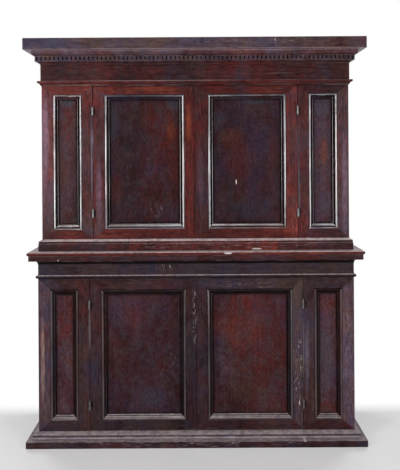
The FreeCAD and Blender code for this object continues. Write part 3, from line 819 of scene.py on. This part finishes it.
# Where the panels' polish has turned, given as for the frames
BLUE = (0.040, 0.046, 0.062)
CRIMSON = (0.085, 0.016, 0.016)
RUST = (0.130, 0.030, 0.014)
PANEL_PATCHES = [
    (-0.44, 1.70, 0.05, 0.16, 0.55, BLUE), (-0.11, 1.80, 0.06, 0.05, 0.70, BLUE),
    (-0.13, 1.66, 0.04, 0.09, 0.65, RUST), (-0.12, 1.45, 0.05, 0.16, 0.45, CRIMSON),
    (-0.42, 1.36, 0.05, 0.14, 0.45, CRIMSON), (0.32, 1.82, 0.16, 0.035, 0.60, BLUE),
    (0.12, 1.72, 0.05, 0.10, 0.40, BLUE), (0.20, 1.62, 0.10, 0.10, 0.40, RUST),
    (0.42, 1.55, 0.05, 0.20, 0.40, CRIMSON), (0.25, 0.60, 0.20, 0.18, 0.25, RUST),
    (-0.33, 0.66, 0.12, 0.13, 0.30, CRIMSON), (0.26, 0.28, 0.18, 0.12, 0.40, (0.050, 0.026, 0.018)),
    (-0.25, 0.24, 0.15, 0.10, 0.35, BLUE), (0.68, 0.47, 0.10, 0.36, 0.45, BLUE),
    (0.68, 1.78, 0.07, 0.10, 0.40, BLUE), (-0.68, 1.82, 0.07, 0.05, 0.60, BLUE),
    (0.24, 1.50, 0.14, 0.24, 0.45, CRIMSON), (0.30, 1.24, 0.20, 0.10, 0.45, (0.022, 0.022, 0.036)),
    (0.69, 1.55, 0.03, 0.12, 0.40, RUST), (0.68, 1.26, 0.07, 0.12, 0.45, (0.030, 0.028, 0.046)),
]

# Finishes: frames and courses, upper and lower panel mouldings, panels, inner boards, ironwork
waxed = walnut("waxed_walnut", BLOOM, 0.72, patches=FRAME_PATCHES, knocks=FRAME_KNOCKS, chips=FRAME_CHIPS,
               hinge_shadows=HINGE_SHADOWS, ledges=DUSTY_LEDGES)
rubbed = walnut("rubbed_walnut", BEAD_BLOOM, 0.6, rough=0.24, polish=1.0)
dulled = walnut("dulled_walnut", BLOOM, 0.6, dust=0.9, polish=0.3)
hazed = walnut("hazed_walnut", PANEL_BLOOM, 0.72, streaked=0.05, figured=0.2, ripple=60.0, veiled=0.42,
               scuffs=0.12, specks=0.3, patches=PANEL_PATCHES, knocks=PANEL_KNOCKS, chips=PANEL_CHIPS)
inner = plain_wood("unpolished_boards", (0.075, 0.042, 0.027), (0.24, 0.15, 0.095))
iron = old_iron("old_iron")
material_of = {"walnut": waxed, "inner_wood": inner, "iron": iron}

# Pieces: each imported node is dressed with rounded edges, grain and a finish of its own

TURNED_AWAY = 0.7
TURNED_INWARDS = -0.1


def faces_back(polygon):
    return polygon.normal.y > TURNED_AWAY


def faces_inwards(polygon):
    """A side board's inner face lies towards the middle, and its back is bare too."""
    return polygon.normal.x * polygon.center.x < TURNED_INWARDS or faces_back(polygon)


def dress(name, width, seed, tones=(PLAIN_TONE,), raw=None, grain_axis=None, shade=None, cuts=()):
    """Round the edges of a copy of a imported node, lay its grain, and show it in the node's place."""
    piece = copied(name)
    bevelled(piece, width)
    for height in cuts:
        edit(piece)
        cut_through((0, 0, height), (0, 0, 1))
        leave()
    smooth(piece, BOARD_SMOOTHING)
    lay_grain(piece, seed, tones, raw, grain_axis, shade)
    return finished(piece, name, material_of[slot_of[name]])


def course_shading(name):
    """Painted shade and light by height under and over the ledges of a course, and painted shade in the slots
    between its dentils.
    """
    low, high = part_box(name)
    points = COURSE_SHADING.get(name)
    slot_z = high.z - SLOT_HALF_HEIGHT

    def in_slot(centre):
        behind = centre.y > low.y + SLOT_SKIN and abs(centre.x) < high.x - SLOT_SKIN
        return behind and abs(centre.x) < SLOT_REACH and abs(centre.z - slot_z) < SLOT_HALF_HEIGHT - SLOT_RIM

    def shade(spot, centre):
        if name == "dentil_strip":
            return SLOT_SHADE if in_slot(centre) else 1.0
        return straight_between(spot.z - low.z, points) if points else 1.0

    return shade


def round_rows(centre, level, half_width, rise, steps):
    """Rows over a half round, as (distance inwards, height)."""
    rows = []
    for step in range(steps + 1):
        angle = math.pi * step / steps
        rows.append((centre - half_width * math.cos(angle), level + rise * math.sin(angle)))
    return rows


def on_slant(edge, layer):
    """Edges that run slantwise across the front, as a mitre does."""
    first, second = edge.verts
    return all(abs(first.co[axis] - second.co[axis]) > MERGE_DISTANCE for axis in (0, 2))


def one_moulding(low, high):
    """Mitred moulding round an opening: a plane inset row by row, then closed behind."""
    rows = QUIRK_ROWS + round_rows(*BEAD, BEAD_STEPS) + HOLLOW_ROWS + round_rows(*LIP, LIP_STEPS) + FALL_ROWS
    depth = rows[0][1]
    front_y = high.y - depth
    everything_off()
    bpy.ops.mesh.primitive_plane_add(size=1, rotation=(math.radians(90), 0, 0))
    piece = bpy.context.object
    piece.scale = (high.x - low.x, high.z - low.z, 1)
    piece.location = ((low.x + high.x) / 2, front_y, (low.z + high.z) / 2)
    set_place(piece)
    edit(piece)
    bpy.ops.mesh.select_all(action="SELECT")
    for (here, level), (there, next_level) in zip(rows[:-1], rows[1:]):
        bpy.ops.mesh.inset(thickness=max(there - here, LEAST_INSET), depth=next_level - level)
    bpy.ops.mesh.delete(type="ONLY_FACE")
    pick(piece, "EDGE", lambda edge, layer: edge.is_boundary and edge.verts[0].co.y < front_y + HAIR)
    bpy.ops.mesh.extrude_edges_move(TRANSFORM_OT_translate={"value": (0, depth, 0)})
    pick(piece, "EDGE", lambda edge, layer: edge.is_boundary)
    bpy.ops.mesh.bridge_edge_loops()
    bpy.ops.mesh.select_all(action="SELECT")
    bpy.ops.mesh.normals_make_consistent(inside=False)
    pick(piece, "EDGE", on_slant)
    bpy.ops.mesh.mark_sharp()
    leave()
    return piece


def reaches(spot, low, high):
    """How far a spot lies from the left, right, bottom and top side of an opening."""
    return spot.x - low.x, high.x - spot.x, spot.z - low.z, high.z - spot.z


def side_of(spot, low, high):
    """Number of the side of an opening that a spot lies on, in the order of reaches."""
    distances = reaches(spot, low, high)
    return distances.index(min(distances))


def panel_mouldings(name, stage, seed, tones, material):
    """Mouldings of a door or of both bays, with painted shade in the hollows and rounds rubbed clean."""
    spots = [vertex.co for vertex in frame["nodes"][name].data.vertices]
    made = []
    for end in ((-1, 1) if name.endswith("s") else (0,)):
        low, high = corners_of([spot for spot in spots if spot.x * end >= 0])
        piece = one_moulding(low, high)
        number_boards(piece.data, lambda polygon: side_of(polygon.center, low, high))

        def shade(spot, centre):
            side = side_of(centre, low, high)
            shade_profile = MOULDING_SHADE_AND_POLISH["upper_foot" if stage == "upper" and side == BOTTOM_SIDE else stage]
            light = straight_between(min(reaches(spot, low, high)), shade_profile) * MOULDING_SIDE_SHADE[stage][side]
            return max(light, MOULDING_LEAST_LIGHT[stage][side])

        smooth(piece, MOULDING_SMOOTHING)
        lay_grain(piece, seed + end, tones, shade=shade)
        made.append(piece)
    return finished(joined(made), name, material)


def plain_panels(name, seed, tones, joint_shares):
    """Panels glued up from boards, with painted shade along the mouldings, which sit over their edges."""
    packed = frame["nodes"][name].data
    numbers = board_numbers(packed)
    made = []
    for number in range(max(numbers) + 1):
        low, high = board_box(packed, [f for f, here in enumerate(numbers) if here == number])
        everything_off()
        bpy.ops.mesh.primitive_cube_add(size=1, location=(low + high) / 2, scale=high - low)
        piece = bpy.context.object
        set_place(piece)
        edit(piece)
        pick(piece, "FACE", lambda face, layer: face.normal.y < -TURNED_AWAY)
        for rim in PANEL_RIMS:
            bpy.ops.mesh.inset(thickness=rim, depth=0)
        for share in joint_shares:
            cut_through(low.lerp(high, share), (1, 0, 0))
        leave()

        def board_at(polygon):
            share = (polygon.center.x - low.x) / (high.x - low.x)
            return number * BOARDS_PER_PANEL + sum(share > joint for joint in joint_shares)

        def shade(spot, centre):
            left, right, bottom, top = reaches(spot, low, high)
            light = straight_between(min(left, right, bottom), PANEL_SHADE)
            return min(light, straight_between(top, PANEL_TOP_SHADE))

        number_boards(piece.data, board_at)
        lay_grain(piece, seed + number, tones, faces_back, 2, shade)
        made.append(piece)
    return finished(joined(made), name, hazed)


# Courses that run across the front and back along both sides, as (name, worn edge, tones of the boards). The
# cavetto's dark tone is painted shade under the fascia, and the crown's light tone is painted light under the
# cornice
COURSES = [
    ("plinth_boards", EDGE_WORN, [(0.38, 0.85)]),
    ("plinth_moulding", EDGE_HARD, [(0.22, 1.7)]),
    ("lower_base_rail", EDGE_HARD, [(0.4, 0.9)]),
    ("lower_frieze_board", EDGE_HARD, [(0.22, 1.0)]),
    ("lower_astragal", EDGE_HARD, [(0.3, 0.6)]),
    ("waist_cavetto", EDGE_HARD, [(0.3, 0.18)]),
    ("waist_fascia", EDGE_SOFT, [(0.40, 1.1)]),
    ("waist_slab", EDGE_SOFT, [(0.60, 1.0)]),
    ("upper_base_rail", EDGE_HARD, [(0.5, 1.0)]),
    ("upper_plinth_boards", EDGE_HARD, [(0.48, 0.85), (0.4, 0.72), (0.56, 0.95), (0.50, 0.85)]),
    ("upper_frieze_boards", EDGE_SOFT, [(0.52, 0.85)]),
    ("necking_moulding", EDGE_HARD, [(0.58, 0.95)]),
    ("bed_moulding", EDGE_HARD, [(0.45, 1.0)]),
    ("dentil_strip", EDGE_HARD, [(0.34, 1.8)]),
    ("crown_moulding", EDGE_HARD, [(0.42, 2.6)]),
    ("cornice_boards", EDGE_WORN, [(0.28, 1.7), (0.30, 1.6)]),
]
for seed, (name, width, tones) in enumerate(COURSES, COURSE_SEED):
    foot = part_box(name)[0].z
    cuts = [foot + height for height, lightness in COURSE_SHADING.get(name, [])[2:4]]
    dress(name, width, seed, tones, shade=course_shading(name), cuts=cuts)

# Boards of the two cases
SIDE_TONES = [(0.42, 0.95)]
CASE_BOARDS = ["lower_floor_board", "upper_floor_board", "lower_shelf", "upper_shelf", "lower_back_boards",
               "upper_back_boards", "shelf_cleats", "cornice_dust_boards"]
for seed, name in enumerate(["lower_side_boards", "upper_side_boards"], SIDE_SEED):
    dress(name, EDGE_SOFT, seed, SIDE_TONES, raw=faces_inwards, grain_axis=2)
for seed, name in enumerate(CASE_BOARDS, CASE_SEED):
    dress(name, EDGE_SOFT, seed)

# Framed fronts: tones go bottom, right, top, left round a frame. The lightest stiles are partly painted sheen
FRAME_TONES = {
    "upper_bay_frames": [(0.54, 0.9), (0.44, 1.3), (0.60, 0.95), (0.44, 1.8),
                         (0.54, 0.9), (0.46, 1.0), (0.56, 0.7), (0.42, 1.5)],
    "upper_left_door_frame": [(0.60, 0.9), (0.56, 1.0), (0.66, 0.9), (0.48, 1.3)],
    "upper_right_door_frame": [(0.60, 0.85), (0.50, 1.35), (0.56, 0.7), (0.46, 1.0)],
    "lower_bay_frames": [(0.36, 0.8), (0.34, 0.9), (0.36, 0.9), (0.46, 1.7),
                         (0.40, 0.8), (0.32, 1.2), (0.30, 1.0), (0.28, 2.1)],
    "lower_left_door_frame": [(0.38, 0.85), (0.36, 0.85), (0.42, 0.75), (0.42, 0.9)],
    "lower_right_door_frame": [(0.38, 0.85), (0.28, 1.6), (0.36, 1.0), (0.38, 0.9)],
}
for seed, (name, tones) in enumerate(FRAME_TONES.items(), FRAME_SEED):
    dress(name, EDGE_SOFT, seed, tones, raw=faces_back)

# Panels, as the tones of each panel's boards, and their mouldings, as (tones, finish) for each stage
PANEL_TONES = {
    "upper": {"bay": [(0.38, 1.10), (0.38, 0.80)], "left_door": [(0.38, 0.75), (0.44, 0.75)],
              "right_door": [(0.40, 0.66), (0.42, 0.72)]},
    "lower": {"bay": [(0.44, 1.5), (0.24, 1.6)], "left_door": [(0.38, 0.95), (0.36, 0.9)],
              "right_door": [(0.46, 0.98), (0.42, 0.98)]},
}
MOULDING_FINISH = {"upper": ([(0.42, 0.97)], rubbed), "lower": ([(0.38, 0.97)], dulled)}
for stage_step, (stage, parts) in enumerate(PANEL_TONES.items()):
    for part_step, (part, panel_tones) in enumerate(parts.items()):
        ending = "s" if part == "bay" else ""
        joint_shares = () if part == "bay" else DOOR_PANEL_JOINTS
        seed = PANEL_SEED + STAGE_SEEDS * stage_step + PART_SEEDS * part_step
        panel_mouldings(f"{stage}_{part}_moulding{ending}", stage, seed, *MOULDING_FINISH[stage])
        plain_panels(f"{stage}_{part}_panel{ending}", seed + PANEL_AFTER_MOULDING, panel_tones, joint_shares)

# Ironwork
for seed, name in enumerate(sorted(node for node, slot in slot_of.items() if slot == "iron"), IRON_SEED):
    dress(name, EDGE_IRON, seed)

# Floor, backdrop, lights and camera

FLOOR_SIZE = (14, 9)
FLOOR_PLACE = (0, -3.2, -0.0005)
FLOOR_COLOURS = [(0.3, (0.84, 0.82, 0.80)), (0.7, (0.90, 0.88, 0.86))]
# The floor turns white between these distances behind the middle, and between these all round it
WHITE_BEHIND = (0.08, 0.38)
WHITE_AROUND = (1.6, 3.0)
WHITE_EVERYWHERE = 0.25
WHITE = (1.0, 1.0, 1.0)
SKY = (0.62, 0.70, 1.0)
SKY_STRENGTH = 0.13
# Lamps, as (name, place, what it is aimed at, width, height, watts, colour)
SIDE_WHITE = (1.0, 0.99, 1.0)
LAMPS = [
    ("left_box", (-1.75, -2.9, 1.475), (0, 0, 1.3), 0.6, 1.3, 50, SIDE_WHITE),
    ("right_box", (1.75, -2.9, 1.475), (0, 0, 1.3), 0.6, 1.3, 38, SIDE_WHITE),
    ("top_box", (0, -1.7, 3.6), (0, 0, 1.2), 3.0, 0.8, 20, WHITE),
    ("left_back_box", (-2.6, 2.6, 2.4), (0, 0, 1.1), 1.4, 1.4, 45, WHITE),
    ("right_back_box", (2.6, 2.6, 2.4), (0, 0, 1.1), 1.4, 1.4, 45, WHITE),
]


def looked_at(tree):
    """1 for what the camera sees, also by reflection or through a clear piece, and 0 for other light."""
    rays = tree.nodes.new("ShaderNodeLightPath").outputs
    seen = rays["Is Camera Ray"]
    for kind in ("Is Glossy Ray", "Is Transmission Ray"):
        either = tree.nodes.new("ShaderNodeMath")
        either.operation = "MAXIMUM"
        tree.links.new(seen, either.inputs[0])
        tree.links.new(rays[kind], either.inputs[1])
        seen = either.outputs[0]
    return seen


def show_blend(tree, share, first, second, surface):
    """Two shaders on one surface, the second by its share."""
    blend = tree.nodes.new("ShaderNodeMixShader")
    for number, source in enumerate((share, first, second)):
        tree.links.new(source, blend.inputs[number])
    tree.links.new(blend.outputs[0], surface)


def studio_floor():
    """Pale floor that fades into the white of the studio behind and around the cupboard."""
    bpy.ops.mesh.primitive_plane_add(size=1)
    floor = bpy.context.object
    floor.name = "studio_floor"
    floor.scale = (*FLOOR_SIZE, 1)
    floor.location = FLOOR_PLACE
    set_place(floor)
    n = Nodes("pale_floor")
    place = n.object_place()
    behind = n.steps(n.split(place)[1], *WHITE_BEHIND)
    around = n.steps(n.length(n.scaled(place, (1.0, 1.0, 0.0))), *WHITE_AROUND)
    whiteness = n.maths("MAXIMUM", n.maths("MAXIMUM", behind, around), WHITE_EVERYWHERE)
    speckle = n.pattern(place, (3, 3, 3), detail=3)
    n.join(n.ramp(speckle, FLOOR_COLOURS), n.shader.inputs["Base Color"])
    n.shader.inputs["Roughness"].default_value = 0.55
    white = n.tree.nodes.new("ShaderNodeEmission")
    white.inputs["Color"].default_value = opaque(WHITE)
    share = n.product(whiteness, looked_at(n.tree))
    show_blend(n.tree, share, n.shader.outputs["BSDF"], white.outputs[0], n.out.inputs["Surface"])
    floor.data.materials.append(n.material)


def studio_world():
    """A white backdrop for the camera, and a faint blue sky for the light."""
    world = bpy.data.worlds.new("studio")
    bpy.context.scene.world = world
    world.use_nodes = True
    tree = world.node_tree
    tree.nodes.clear()
    out = tree.nodes.new("ShaderNodeOutputWorld")
    shown = []
    for colour, strength in ((SKY, SKY_STRENGTH), (WHITE, 1.0)):
        background = tree.nodes.new("ShaderNodeBackground")
        background.inputs["Color"].default_value = opaque(colour)
        background.inputs["Strength"].default_value = strength
        shown.append(background.outputs[0])
    show_blend(tree, looked_at(tree), *shown, out.inputs["Surface"])


def soft_box(name, place, aim, width, height, watts, colour):
    """A broad, soft lamp that the camera doesn't see."""
    lamp = bpy.data.lights.new(name, "AREA")
    lamp.shape = "RECTANGLE"
    lamp.size = width
    lamp.size_y = height
    lamp.energy = watts
    lamp.color = colour
    stand = bpy.data.objects.new(name, lamp)
    stand.visible_camera = False
    stand.location = place
    stand.rotation_euler = (Vector(aim) - Vector(place)).to_track_quat("-Z", "Y").to_euler()
    bpy.context.scene.collection.objects.link(stand)


def photo_camera(scene):
    """Camera at the photo's eye, level and a little rolled."""
    lens = bpy.data.cameras.new("camera")
    camera = bpy.data.objects.new("camera", lens)
    scene.collection.objects.link(camera)
    scene.camera = camera
    front_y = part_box("lower_left_door_frame")[0].y
    camera.location = (EYE_SIDE, front_y - EYE_DISTANCE, EYE_HEIGHT)
    camera.rotation_euler = (math.radians(90), CAMERA_ROLL, 0)
    lens.sensor_width = SENSOR_MM
    lens.lens = FOCAL_PX / PHOTO_HEIGHT_PX * SENSOR_MM
    lens.shift_y = -(PHOTO_HEIGHT_PX / 2 - HORIZON_PX) / PHOTO_HEIGHT_PX


studio_floor()
studio_world()
for lamp in LAMPS:
    soft_box(*lamp)
photo_camera(bpy.context.scene)
bpy.context.scene.view_settings.view_transform = "Standard"
